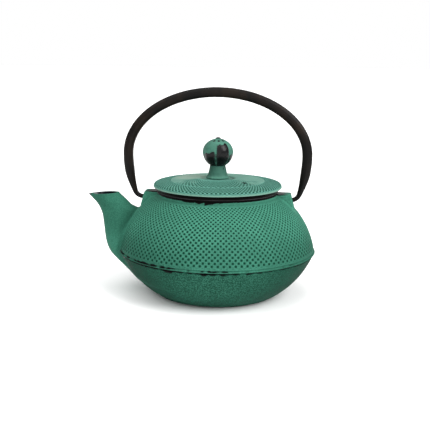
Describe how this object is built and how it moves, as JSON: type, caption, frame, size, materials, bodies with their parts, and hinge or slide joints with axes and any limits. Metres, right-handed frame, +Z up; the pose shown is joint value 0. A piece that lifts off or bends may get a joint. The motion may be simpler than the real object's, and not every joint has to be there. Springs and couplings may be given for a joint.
{
  "type": "cast iron teapot",
  "caption": "Squat round cast iron teapot with a dotted shoulder, short spout, swinging bail handle, domed lid with a ball knob, and a wire mesh infuser inside.",
  "frame": {"origin": "centre of the flat foot, where the pot rests on the table", "axes": "+Z up through the lid knob; the spout points towards -X; the bail's hinge line runs along X"},
  "size_m": [0.1638, 0.14, 0.1467],
  "materials": {
    "green_iron": "sandy cast surface with a rubbed green patina, black enamel inside",
    "knob_iron": "green patina worn through to black",
    "black_iron": "dark brown-black satin",
    "stainless": "polished pressed sheet",
    "stainless_mesh": "fine woven wire"
  },
  "bodies": {
    "pot": {"pot_body": "green_iron"},
    "bail": {"bail_handle": "black_iron"},
    "infuser": {"infuser_rim": "stainless", "infuser_crimp_band": "stainless", "infuser_mesh": "stainless_mesh"},
    "lid": {"lid": "green_iron", "lid_knob": "knob_iron"}
  },
  "joints": [
    {"name": "bail_hinge", "type": "hinge", "parent": "pot", "child": "bail", "pos_m": [0, 0, 0.0683], "axis": [1, 0, 0], "range_deg": [-105, 105]},
    {"name": "infuser_lift", "type": "slide", "parent": "pot", "child": "infuser", "axis": [0, 0, 1], "range_m": [0, 0.012]},
    {"name": "lid_lift", "type": "slide", "parent": "infuser", "child": "lid", "axis": [0, 0, 1], "range_m": [0, 0.014]}
  ]
}
